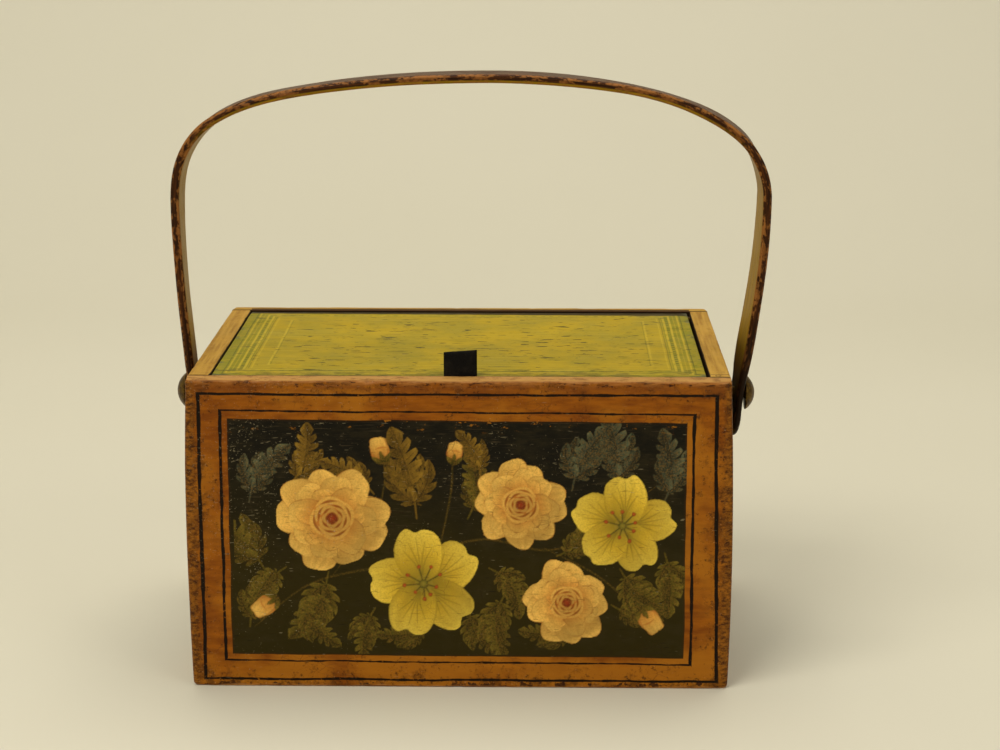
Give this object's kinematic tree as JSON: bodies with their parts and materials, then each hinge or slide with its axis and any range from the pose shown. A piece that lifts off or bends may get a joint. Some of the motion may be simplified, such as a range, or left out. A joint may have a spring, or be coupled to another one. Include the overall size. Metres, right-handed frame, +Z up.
{
  "type": "sewing carrier",
  "caption": "Rectangular painted wooden sewing box with a bentwood swing handle, a hinged top lid set flush in its rim with a leather pull tab and a lidded till inside.",
  "frame": {"origin": "centre of the case's flat underside, midway between its end boards and midway between its front and back faces", "axes": "+X to the right seen from the front, +Y from the front to the back, where the lid is hinged, +Z up"},
  "size_m": [0.2966, 0.176, 0.2855],
  "materials": {
    "painted_wood": "old ochre paint and black lines under a yellowed gloss varnish, worn at the edges",
    "lid_paint": "green paint with yellow line borders under a yellowed varnish, dented and scuffed",
    "bare_wood": "dry, unpainted and darkened with age",
    "handle_wood": "ochre paint worn through to dark wood along the edges, satin varnish",
    "black_leather": "thick black leather, dry and creased",
    "old_iron": "dark, rubbed smooth"
  },
  "bodies": {
    "case": {"front_board": "painted_wood", "back_board": "painted_wood", "left_end_board": "painted_wood", "right_end_board": "painted_wood", "bottom_board": "bare_wood", "front_nails": "old_iron", "back_nails": "old_iron", "end_nails": "old_iron", "front_ledge": "bare_wood", "left_ledge": "bare_wood", "right_ledge": "bare_wood", "left_hinge_pin": "old_iron", "right_hinge_pin": "old_iron", "till_side": "bare_wood", "till_bottom": "bare_wood", "left_pivot_stud": "old_iron", "right_pivot_stud": "old_iron", "left_collar": "handle_wood", "right_collar": "handle_wood", "left_rove": "old_iron", "right_rove": "old_iron"},
    "lid": {"top_lid": "lid_paint", "lid_tab": "black_leather", "tab_tacks": "old_iron"},
    "till_cover": {"till_lid": "bare_wood"},
    "swing_handle": {"handle": "handle_wood"}
  },
  "joints": [
    {"name": "lid_hinge", "type": "hinge", "parent": "case", "child": "lid", "pos_m": [0, 0.07475, 0.14735], "axis": [-1, 0, 0], "range_deg": [0, 50]},
    {"name": "till_lid_hinge", "type": "hinge", "parent": "case", "child": "till_cover", "pos_m": [-0.1141, 0, 0.0853], "axis": [0, -1, 0], "range_deg": [0, 90]},
    {"name": "handle_swing", "type": "hinge", "parent": "case", "child": "swing_handle", "pos_m": [0, 0, 0.1254], "axis": [1, 0, 0], "range_deg": [-125, 125]}
  ]
}
